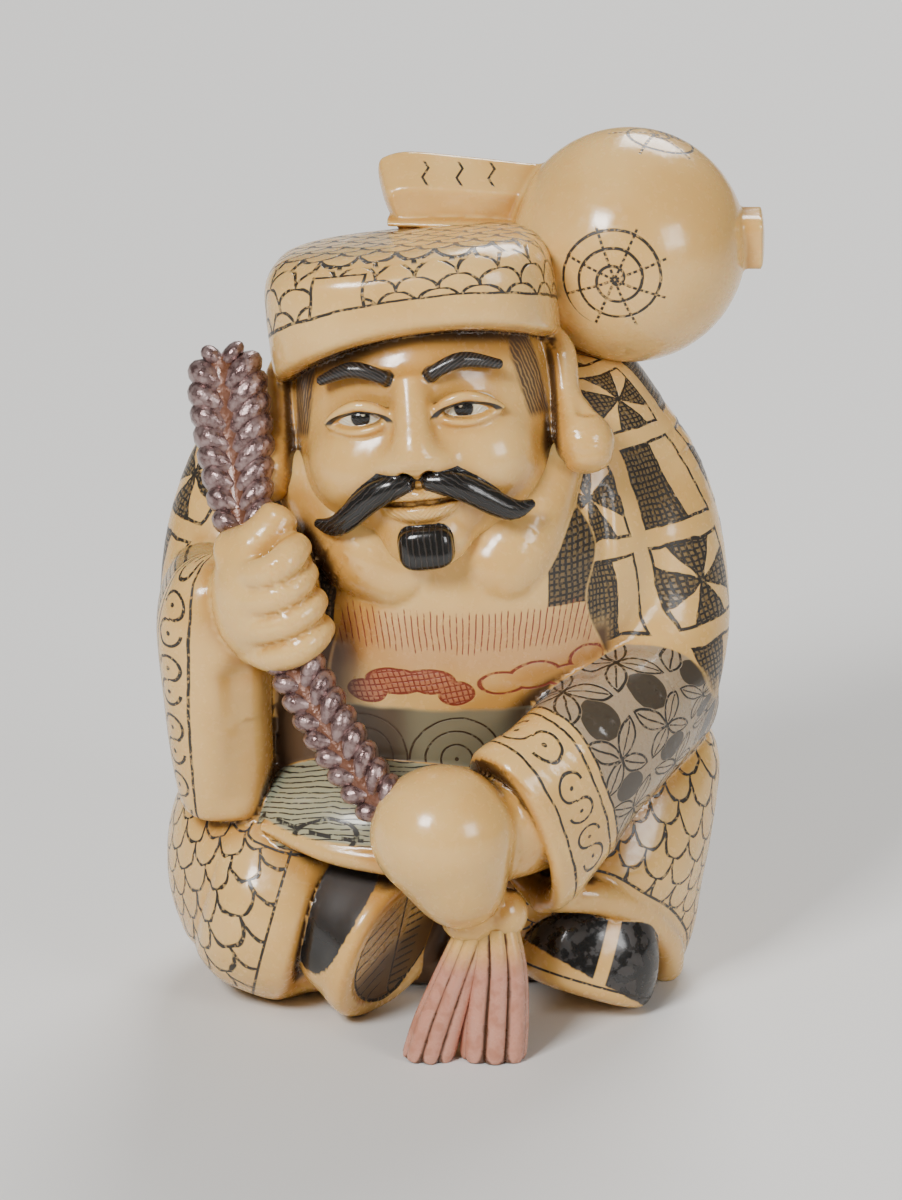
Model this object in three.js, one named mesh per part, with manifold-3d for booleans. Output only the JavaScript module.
import * as THREE from "three";
import { LoftGeometry } from "three/addons/geometries/LoftGeometry.js";
import { mergeVertices } from "three/addons/utils/BufferGeometryUtils.js";
import Module from "manifold-3d";

// A seated lucky god with a ball on the shoulder, cast in one piece, in millimetres.
// The figure faces -Y, its own left is towards +X, and its flat underside lies on Z = 0.

const X_AXIS = new THREE.Vector3(1, 0, 0);
const Y_AXIS = new THREE.Vector3(0, 1, 0);
const Z_AXIS = new THREE.Vector3(0, 0, 1);

// Upright forms. A level is [height, middle X, middle Y, half width, half depth].
// A power of 2 makes an ellipse in plan, and more makes it squarer.
const ROBE = {
  sides: 24,
  power: 2.3,
  levels: [
    [0, 0, 4, 17, 12],
    [6, 0, 4.5, 19.5, 13.5],
    [14, 0, 4, 20.5, 14],
    [22, 0, 3.5, 20.3, 14.5],
    [30, 0, 3.2, 20.3, 15],
    [38, 0.2, 3, 20.2, 14.5],
    [44, 0.8, 3.5, 19.2, 13],
    [49, 2.5, 4.5, 17, 11],
    [53, 4.2, 5, 13.5, 9],
    [55.5, 6, 5, 9, 6.5],
    [56.6, 6.5, 5, 4, 3],
  ],
};
const CHEST = {
  sides: 16,
  power: 2,
  levels: [
    [18, 1.5, -3, 12, 7.5],
    [22, 1.5, -3, 13.5, 8.7],
    [27, 1.5, -3, 14.3, 9.7],
    [32, 1.5, -3, 14.5, 10.7],
    [37, 1.2, -3, 13.6, 11],
    [42, 1, -3, 11.5, 10],
    [46, 0.8, -3, 8, 7],
  ],
};
const RIGHT_KNEE = {
  sides: 20,
  power: 2.2,
  levels: [
    [0, -11, -2, 6, 7.5],
    [2.5, -12.2, -2.3, 9, 9.8],
    [6, -13.2, -2.5, 10.4, 11],
    [11, -13.8, -2.5, 10.6, 11.3],
    [16, -13.5, -2, 10, 10.5],
    [20, -12.5, -1, 8, 8.5],
    [22.5, -11, 0, 4.5, 5],
  ],
};
const LEFT_KNEE = {
  sides: 20,
  power: 2.2,
  levels: [
    [0, 10, -2, 11, 7],
    [4, 10.3, -2, 12, 9.2],
    [8, 10.5, -2, 12.4, 11],
    [12, 10.7, -2, 12.9, 12.8],
    [16, 11.5, -1.5, 12.7, 11.6],
    [19.5, 12.5, -1, 11.9, 9.6],
    [22.5, 14, -0.5, 9, 7],
    [24, 15, 0, 4, 4],
  ],
};
// Wide sleeve that hangs from the raised forearm.
const RIGHT_SLEEVE = {
  sides: 14,
  power: 3,
  levels: [
    [17, -18.9, -6.8, 3, 4.6],
    [17.9, -19, -6.8, 3.9, 5.6],
    [22, -19.3, -6.6, 4.5, 6.8],
    [28, -19.7, -6.4, 4.8, 7.6],
    [35, -19.9, -6.6, 5.1, 7.3],
    [39, -19.2, -7, 4.5, 6.2],
    [40.8, -18.8, -7.4, 3.2, 4.4],
  ],
};

// Rounded masses: middle and half sizes.
const LAP = { at: [-3, -9, 17.5], size: [13.5, 9.5, 6], sides: 14 };
const RIGHT_PALM = { at: [-15.6, -12.4, 38.4], size: [4.9, 5, 6.9], sides: 12 };
const LEFT_HAND = { at: [-0.2, -22.8, 19.6], size: [6.5, 6.2, 6.7], sides: 16 };
const KNOTS = [
  { at: [2.4, -21.8, 12.4], size: [2.6, 2.4, 2.3], sides: 8 },
  { at: [5.2, -21.4, 12.6], size: [2.2, 2.2, 2.3], sides: 8 },
];

// Limbs and folds. A path point is [X, Y, Z, half height, half width] of the section there.
// The dome is how far a rounded end reaches, as a share of the last half size.
const APRON_HEM = {
  sides: 8,
  path: [
    [-15.5, -13, 17.6, 1.7, 1.7],
    [-10, -16.3, 17.2, 1.9, 1.9],
    [-4, -17.8, 16.5, 1.9, 1.9],
    [1, -17.6, 16, 1.9, 1.9],
    [5, -16, 16, 1.7, 1.7],
  ],
};
const COLLAR_RIGHT = {
  sides: 8,
  steps: 2,
  dome: 0.9,
  path: [
    [-3.6, -10, 40.7, 4.2, 4.2],
    [-7.5, -8.6, 42.6, 4.4, 4.4],
    [-10.5, -4.5, 46.5, 4, 4],
  ],
};
const COLLAR_LEFT = {
  sides: 8,
  steps: 2,
  dome: 0.9,
  path: [
    [4.7, -10, 40.8, 4.2, 4.2],
    [7.6, -8.8, 43, 4.6, 4.4],
    [10.6, -5.5, 48, 4.2, 4],
  ],
};
const RIGHT_UPPER_ARM = {
  sides: 12,
  up: Y_AXIS,
  path: [
    [-11, 5, 48.5, 5, 6],
    [-14.5, 4, 45.5, 6.5, 7],
    [-17.3, 1.5, 39, 7, 7],
    [-18.6, -2, 32, 7, 6.3],
    [-18.6, -4, 27, 6, 5.4],
  ],
};
const LEFT_UPPER_ARM = {
  sides: 12,
  up: Y_AXIS,
  path: [
    [8, 6, 50, 6, 6.3],
    [14, 5, 45.8, 7, 7],
    [16.4, 3.5, 40, 7.4, 7.8],
    [17.3, 1, 32, 7.2, 8],
    [17.2, -3, 26.5, 7, 7],
  ],
};
const LEFT_FOREARM = {
  sides: 14,
  power: 2.3,
  dome: 0.1,
  path: [
    [19, -2, 26.5, 6, 5.6],
    [16.5, -8, 25.8, 6.3, 5.4],
    [13, -12.5, 24, 7, 5.2],
    [9.8, -16, 21.4, 7.9, 5],
    [7.2, -18.4, 19.4, 8.2, 4.7],
  ],
};
const LEFT_WRIST = {
  sides: 10,
  path: [
    [-0.2, -22, 19.6, 4.6, 4],
    [5, -20, 19.6, 4.8, 3.6],
    [9, -17, 20.4, 4.8, 3.6],
  ],
};
const RIGHT_THUMB = {
  sides: 8,
  path: [
    [-18, -12.4, 43.6, 2.2, 2.2],
    [-15, -13.6, 45.2, 2.3, 2.3],
    [-13.5, -12.8, 48.2, 1.8, 1.8],
  ],
};
// Four fingers round the cord: the same bend at each height, with its own reach.
const FINGERS = [
  { height: 42.8, reach: -0.6 },
  { height: 40.3, reach: -0.3 },
  { height: 37.8, reach: 0.3 },
  { height: 35.4, reach: 0.5 },
];
const FINGER_SIDES = 6;
// Joints of a finger: [X, Y, rise, radius, share of the reach].
const FINGER_BEND = [
  [-18.4, -13.6, -1, 1.5, 0],
  [-16, -16, -0.5, 1.5, 0],
  [-13, -17, 0, 1.5, 0],
  [-11, -16.2, 0.5, 1.5, 1],
  [-10.3, -14.4, 0.8, 1.35, 1],
];

// Openings that face a direction. A step is [distance along it, share of the half sizes].
const RIGHT_LEG = {
  at: [-11, -8.4, 7.8],
  facing: [0.96, -0.12, -0.25],
  half: [8.6, 8.2],
  sides: 18,
  steps: [
    [-9, 0.9],
    [-6, 1.02],
    [-3.2, 1.06],
    [-1.4, 1.03],
    [-0.3, 0.94],
  ],
};
const RIGHT_LEG_OPENING = {
  ...RIGHT_LEG,
  sides: 16,
  steps: [
    [-2, 0.62],
    [1, 0.84],
  ],
};
const LEFT_CUFF = {
  at: [6.9, -18.4, 19.4],
  facing: [-0.72, -0.6, -0.35],
  half: [4.7, 8.2],
  sides: 16,
  power: 2.4,
  steps: [
    [-4, 0.9],
    [-1.5, 1.02],
    [-0.6, 1.04],
    [0.2, 0.98],
  ],
};
const LEFT_CUFF_MOUTH = {
  ...LEFT_CUFF,
  steps: [
    [-2.6, 0.55],
    [-1.6, 0.78],
    [1, 0.86],
  ],
};
// A shoe is given by the middle of its sole, the way the sole faces and the way the toe points.
const SHOE_STEPS = [
  [-9.5, 0.45],
  [-8, 0.7],
  [-5.5, 0.9],
  [-3, 0.97],
  [-1.4, 1.03],
  [0, 1.03],
];
const RIGHT_SHOE = {
  at: [-3.9, -13.8, 6.6],
  facing: [0.777, -0.54, -0.32],
  first: [0.57, 0.82, 0],
  half: [7.2, 7.2],
  sides: 14,
  power: 2.3,
  steps: SHOE_STEPS,
};
const LEFT_SHOE = {
  at: [12.2, -12.8, 2.2],
  facing: [-0.3, -0.25, -0.92],
  first: [-0.87, -0.2, 0.4],
  half: [6.2, 4.4],
  sides: 14,
  power: 2.3,
  steps: SHOE_STEPS,
};
// Left trouser leg: its hem arches over the shoe, in a slanting plane that ends the leg.
const LEFT_HEM = {
  sides: 8,
  steps: 2,
  path: [
    [8.5, -16.2, 12.2, 1.5, 1.5],
    [13.5, -14.5, 11.4, 1.6, 1.6],
    [17.2, -11, 8.4, 1.6, 1.6],
    [19.5, -7.5, 4.3, 1.6, 1.6],
    [19.7, -5, 1.2, 1.6, 1.6],
  ],
};
const BELOW_LEFT_HEM = { facing: [0.07, -0.67, -0.74], offset: 4.2 };

// Plaited cord, from its feathered end down to the left hand: [X, Y, Z, half width].
const CORD_PATH = [
  [-19.3, -4, 57.8, 1.8],
  [-19.1, -4.6, 55.4, 2.9],
  [-18.3, -6.8, 49.8, 3.1],
  [-17.4, -10.4, 44.4, 2.6],
  [-15.4, -13.6, 38, 2.2],
  [-13, -16, 33.5, 2.4],
  [-9.9, -18.8, 28.6, 2.5],
  [-6.4, -21.3, 24, 2.4],
  [-2.8, -23, 20.5, 2.3],
];
const CORD_SIDES = 8;
const CORD_WIDTH_STEPS = 8;
const CORD_THICKNESS = 0.85;
const LEAF_PITCH = 2.1;
const LEAF_SLANT = 1.1;
// Place of the waist and the tip of a leaf in its pitch, and the share of the cord's width there.
const LEAF_WAIST = { at: 0.9, share: 0.86 };
const LEAF_TIP = { at: 0.15, share: 1.14 };

// Tassel bundles: [X, Y, Z, half width, half thickness].
const TASSEL_BUNDLES = [
  [
    [2.8, -21.9, 11.6, 1.5, 1.6],
    [1.4, -22.7, 8, 1.9, 1.7],
    [-0.2, -23.4, 3.6, 2.3, 1.8],
    [-1.3, -23.9, 0, 2.4, 1.8],
  ],
  [
    [4.6, -21.9, 11.6, 2, 1.7],
    [4.8, -22.7, 8, 2.6, 1.9],
    [4.6, -23.4, 3.6, 3, 2],
    [4.4, -23.9, 0, 3, 2],
  ],
];
const TASSEL_FLUTES = 8;
const TASSEL_FLUTE_DEPTH = 0.24;

// Ball on the left shoulder, with a flared neck on one side and a peg on the other.
const BALL = { at: [16.3, 6, 64.7], size: [10.3, 10.3, 10.3], sides: 20 };
const BALL_NECK = {
  sides: 14,
  power: 2.3,
  dome: 0.2,
  path: [
    [10, 9, 67.5, 3.2, 3],
    [7, 9.4, 67.7, 3.1, 3.1],
    [2, 10.2, 67.8, 3.3, 3.3],
    [-2.6, 10.9, 67.7, 3.6, 3.6],
    [-4, 11, 67.4, 3.5, 3.5],
  ],
};
const PEG = {
  sides: 12,
  dome: 0.1,
  path: [
    [16.3, 6, 65.3, 2.4, 2.4],
    [27.8, 6, 65.3, 2.4, 2.4],
  ],
};

// Head: place of its middle, and its lean in degrees about X, Y and Z.
const HEAD_AT = [-1.5, -2, 52];
const HEAD_LEAN = [-11, -7, -4];
// Forms in the head's own axes: X to its left ear, -Y out of the face, Z up.
const HEAD_MASSES = [
  { at: [0, 0.5, 2], size: [11.4, 11.3, 11.5], sides: 16 },
  { at: [0, -2.3, -4.2], size: [11, 9.6, 8.4], sides: 16 },
  { at: [0, -9.3, -10], size: [3.6, 2.4, 2.6], sides: 10 },
];
const BEARD = { at: [0, -11.2, -10.4], size: [2.4, 1.4, 1.9], sides: 10 };
const PAIRED_MASSES = {
  cheek: { at: [5.1, -7.3, -3.2], size: [4.6, 4, 4.3], sides: 10 },
  nostril: { at: [1.8, -11.6, -2.9], size: [1.2, 1.4, 1.1], sides: 8 },
  eyelid: { at: [4.4, -9.6, 1.5], size: [2.5, 1.4, 1.4], sides: 8 },
};
const NOSE = {
  sides: 8,
  up: Y_AXIS,
  path: [
    [0, -10.4, 4, 1.1, 1.3],
    [0, -11.6, 1.2, 1.2, 1.4],
    [0, -12.5, -1.8, 1.6, 1.8],
    [0, -12.3, -3, 1.2, 1.6],
  ],
};
const LOWER_LIP = {
  sides: 6,
  path: [
    [-2.7, -10.9, -6.9, 0.6, 0.6],
    [0, -11.8, -7.4, 0.9, 0.8],
    [2.7, -10.9, -6.9, 0.6, 0.6],
  ],
};
const PAIRED_STRANDS = {
  brow: {
    sides: 6,
    path: [
      [2, -10.7, 4.9, 0.7, 0.9],
      [4.8, -10.2, 5.7, 0.8, 0.9],
      [7.8, -8.6, 4.6, 0.5, 0.8],
    ],
  },
  moustache: {
    sides: 6,
    path: [
      [0.9, -12.2, -4.5, 0.8, 0.8],
      [4.5, -11.9, -5.7, 1.2, 0.9],
      [7.5, -10.4, -7.8, 1, 0.8],
      [9.4, -9.4, -7.6, 0.5, 0.5],
    ],
  },
  ear: {
    sides: 8,
    up: Y_AXIS,
    path: [
      [11.6, -0.4, 5.6, 1.3, 1.2],
      [12.4, -0.6, 4, 1.8, 1.3],
      [12.6, -1.6, 0.5, 1.9, 1.3],
      [13.2, -2.8, -1.6, 2.3, 1.9],
      [14, -4.2, -3.4, 2.7, 2.6],
      [14.2, -4.8, -4.8, 2.1, 2.1],
    ],
  },
};
// Flat soft cap: [height, rise per millimetre forwards, half width, half depth, drop at the sides].
const CAP_LEVELS = [
  [6.1, 0.2, 11.6, 11.4, 1.6],
  [6.7, 0.2, 12.4, 12.2, 1.6],
  [9.4, 0.18, 12.6, 12.4, 1],
  [12.4, 0.08, 12.5, 12.2, 0.2],
  [14.3, 0, 11.6, 11.3, 0],
  [15.2, 0, 9.8, 9.5, 0],
  [15.5, 0, 6, 6, 0],
];
const CAP_SIDES = 22;
const CAP_POWER = 3;
const CAP_MIDDLE_Y = -0.7;
const CAP_TILT = 0.05;

// An ellipsoid has about half as many rings as it has sides.
const RINGS_PER_SIDE = 0.55;
const DOME_ANGLES = [75, 40].map(THREE.MathUtils.degToRad);
const MERGE_DISTANCE = 1e-4;
const BEYOND_EVERYTHING = 120;

const wasm = await Module();
wasm.setup();

// Rows blended by Catmull-Rom, with the given number of steps in each interval.
function smoothed(rows, steps) {
  const at = (i) => rows[Math.min(Math.max(i, 0), rows.length - 1)];
  const out = [];
  for (let i = 0; i < rows.length - 1; i++) {
    const [p, q, r, s] = [at(i - 1), at(i), at(i + 1), at(i + 2)];
    for (let k = 0; k < steps; k++) {
      const t = k / steps;
      out.push(
        q.map((value, j) => {
          const slope = (r[j] - p[j]) * t;
          const bend = (2 * p[j] - 5 * value + 4 * r[j] - s[j]) * t ** 2;
          const twist = (3 * value - p[j] - 3 * r[j] + s[j]) * t ** 3;
          return value + (slope + bend + twist) / 2;
        }),
      );
    }
  }
  out.push(at(rows.length - 1));
  return out;
}

// One closed ring round a point, as a superellipse.
function ring(at, across, up, [halfWidth, halfHeight], sides, power = 2) {
  const squared = (v) => Math.sign(v) * Math.abs(v) ** (2 / power);
  return Array.from({ length: sides }, (_, i) => {
    const angle = (2 * Math.PI * i) / sides;
    return at
      .clone()
      .addScaledVector(across, halfWidth * squared(Math.cos(angle)))
      .addScaledVector(up, halfHeight * squared(Math.sin(angle)));
  });
}

// A closed surface through rings of equal length.
function skin(rings) {
  return new LoftGeometry(rings, { capStart: true, capEnd: true });
}

function stack({ levels, sides, power }) {
  return skin(
    levels.map(([z, x, y, a, b]) =>
      ring(new THREE.Vector3(x, y, z), X_AXIS, Y_AXIS, [a, b], sides, power),
    ),
  );
}

function ellipsoid({ at, size, sides }) {
  return new THREE.SphereGeometry(1, sides, Math.round(sides * RINGS_PER_SIDE))
    .rotateX(Math.PI / 2)
    .scale(...size)
    .translate(...at);
}

function limb({ path, sides, steps = 1, up = Z_AXIS, power = 2, dome = 0.6 }) {
  const rows = smoothed(path, steps);
  const points = rows.map((row) => new THREE.Vector3(...row));
  const last = rows.length - 1;
  return skin(
    rows.flatMap(([, , , height, width], i) => {
      const before = points[Math.max(i - 1, 0)];
      const after = points[Math.min(i + 1, last)];
      const along = after.clone().sub(before).normalize();
      const across = up.clone().cross(along).normalize();
      const lift = along.clone().cross(across);
      const reach = dome * Math.min(height, width);
      const section = (angle, end) =>
        ring(
          points[i].clone().addScaledVector(along, end * reach * Math.sin(angle)),
          across,
          lift,
          [width * Math.cos(angle), height * Math.cos(angle)],
          sides,
          power,
        );
      const opening = i === 0 ? DOME_ANGLES.map((angle) => section(angle, -1)) : [];
      const closing =
        i === last ? DOME_ANGLES.map((angle) => section(angle, 1)).reverse() : [];
      return [...opening, section(0, 0), ...closing];
    }),
  );
}

// Rings across a direction; the first half size lies level, or along the given vector.
function tapered({ at, facing, first, half, steps, sides, power }) {
  const out = new THREE.Vector3(...facing).normalize();
  const across = first ? new THREE.Vector3(...first) : Z_AXIS.clone().cross(out);
  across.addScaledVector(out, -across.dot(out)).normalize();
  const up = out.clone().cross(across);
  return skin(
    steps.map(([shift, share]) =>
      ring(
        new THREE.Vector3(...at).addScaledVector(out, shift),
        across,
        up,
        half.map((size) => size * share),
        sides,
        power,
      ),
    ),
  );
}

// A closed surface as a solid that can be joined and cut.
function solid(geometry) {
  const bare = new THREE.BufferGeometry();
  bare.setAttribute("position", geometry.getAttribute("position"));
  bare.setIndex(geometry.getIndex());
  const merged = mergeVertices(bare, MERGE_DISTANCE);
  return new wasm.Manifold(
    new wasm.Mesh({
      numProp: 3,
      vertProperties: merged.attributes.position.array,
      triVerts: new Uint32Array(merged.index.array),
    }),
  );
}

// Everything that lies further along a direction than the offset.
function beyond({ facing, offset }) {
  const direction = new THREE.Vector3(...facing).normalize();
  const size = BEYOND_EVERYTHING;
  const block = new THREE.BoxGeometry(size, size, size)
    .translate(0, 0, size / 2)
    .applyQuaternion(new THREE.Quaternion().setFromUnitVectors(Z_AXIS, direction))
    .translate(...direction.multiplyScalar(offset).toArray());
  return solid(block);
}

// The same form on the other side of the head.
function mirrored({ at, path, ...rest }) {
  return {
    ...rest,
    at: at && [-at[0], at[1], at[2]],
    path: path && path.map(([x, ...row]) => [-x, ...row]),
  };
}

function pairs(forms) {
  return Object.values(forms).flatMap((form) => [form, mirrored(form)]);
}

function finger({ height, reach }) {
  const path = FINGER_BEND.map(([x, y, rise, radius, share]) => [
    x + reach * share,
    y,
    height + rise,
    radius,
    radius,
  ]);
  return limb({ path, sides: FINGER_SIDES });
}

// Leaves lie in V shapes along the cord and stand away from it towards the feathered end.
function cord() {
  const curve = new THREE.CatmullRomCurve3(CORD_PATH.map((row) => new THREE.Vector3(...row)));
  const pitches = Math.round(curve.getLength() / LEAF_PITCH);
  const widths = smoothed(
    CORD_PATH.map((row) => [row[3]]),
    CORD_WIDTH_STEPS,
  );
  const section = (place, share) => {
    const along = curve.getTangentAt(place).negate();
    const across = along.clone().cross(Y_AXIS).normalize();
    const front = along.clone().cross(across);
    const nearest = Math.round(curve.getUtoTmapping(place) * (widths.length - 1));
    const half = widths[nearest][0] * share;
    const middle = curve.getPointAt(place);
    return Array.from({ length: CORD_SIDES }, (_, k) => {
      const angle = (2 * Math.PI * k) / CORD_SIDES;
      const side = Math.cos(angle);
      return middle
        .clone()
        .addScaledVector(across, side * half)
        .addScaledVector(front, Math.sin(angle) * half * CORD_THICKNESS)
        .addScaledVector(along, LEAF_SLANT * (Math.abs(side) - 0.5));
    });
  };
  const rings = [];
  for (let leaf = pitches - 1; leaf >= 0; leaf--)
    for (const { at, share } of [LEAF_WAIST, LEAF_TIP])
      rings.push(section((leaf + at) / pitches, share));
  return skin(rings);
}

// One bundle of the tassel, fluted all round.
function bundle(rows) {
  const sides = 2 * TASSEL_FLUTES;
  return skin(
    rows.map(([x, y, z, a, b]) =>
      Array.from({ length: sides }, (_, k) => {
        const angle = (-2 * Math.PI * k) / sides;
        const share = k % 2 ? 1 - TASSEL_FLUTE_DEPTH : 1;
        return new THREE.Vector3(
          x + a * share * Math.cos(angle),
          y + b * share * Math.sin(angle),
          z,
        );
      }),
    ),
  );
}

function cap() {
  const rings = CAP_LEVELS.map(([z, rise, a, b, drop]) => {
    const middle = new THREE.Vector3(0, CAP_MIDDLE_Y, z);
    const points = ring(middle, X_AXIS, Y_AXIS, [a, b], CAP_SIDES, CAP_POWER);
    points.forEach((p) => {
      const side = p.x / a;
      p.z += rise * (CAP_MIDDLE_Y - p.y) + drop * (CAP_TILT * p.x - side ** 2);
    });
    return points;
  });
  return skin(rings);
}

function headForms() {
  const lean = HEAD_LEAN.map(THREE.MathUtils.degToRad);
  const place = new THREE.Matrix4()
    .makeRotationFromEuler(new THREE.Euler(...lean, "ZYX"))
    .setPosition(...HEAD_AT);
  return [
    ...[...HEAD_MASSES, BEARD, ...pairs(PAIRED_MASSES)].map(ellipsoid),
    ...[NOSE, LOWER_LIP, ...pairs(PAIRED_STRANDS)].map(limb),
    cap(),
  ].map((geometry) => solid(geometry.applyMatrix4(place)));
}

const plainForms = [
  ...[ROBE, CHEST, RIGHT_KNEE, RIGHT_SLEEVE].map(stack),
  ...[LAP, RIGHT_PALM, LEFT_HAND, ...KNOTS, BALL].map(ellipsoid),
  ...[APRON_HEM, COLLAR_RIGHT, COLLAR_LEFT, RIGHT_UPPER_ARM, LEFT_UPPER_ARM].map(limb),
  ...[LEFT_WRIST, RIGHT_THUMB, LEFT_HEM, BALL_NECK, PEG].map(limb),
  ...FINGERS.map(finger),
  ...[RIGHT_SHOE, LEFT_SHOE].map(tapered),
  ...TASSEL_BUNDLES.map(bundle),
  cord(),
].map(solid);
const cutForms = [
  solid(stack(LEFT_KNEE)).subtract(beyond(BELOW_LEFT_HEM)),
  solid(tapered(RIGHT_LEG)).subtract(solid(tapered(RIGHT_LEG_OPENING))),
  solid(limb(LEFT_FOREARM))
    .add(solid(tapered(LEFT_CUFF)))
    .subtract(solid(tapered(LEFT_CUFF_MOUTH))),
];
const figure = [...plainForms, ...cutForms, ...headForms()]
  .reduce((whole, form) => whole.add(form))
  .subtract(beyond({ facing: [0, 0, -1], offset: 0 }));

// The joined solid as a mesh, moved so that the middle of its plan is the origin.
function meshOf(body, material) {
  const { vertProperties, triVerts } = body.getMesh();
  const geometry = new THREE.BufferGeometry();
  geometry.setAttribute("position", new THREE.BufferAttribute(vertProperties, 3));
  geometry.setIndex(new THREE.BufferAttribute(triVerts, 1));
  geometry.computeBoundingBox();
  const middle = geometry.boundingBox.getCenter(new THREE.Vector3());
  geometry.translate(-middle.x, -middle.y, 0);
  geometry.computeVertexNormals();
  return new THREE.Mesh(geometry, material);
}

const ivory = new THREE.MeshStandardMaterial({ color: 0xe8d2a4, roughness: 0.35 });
const okimono = meshOf(figure, ivory);
okimono.name = "okimono";

const group = new THREE.Group();
group.add(okimono);
export default group;
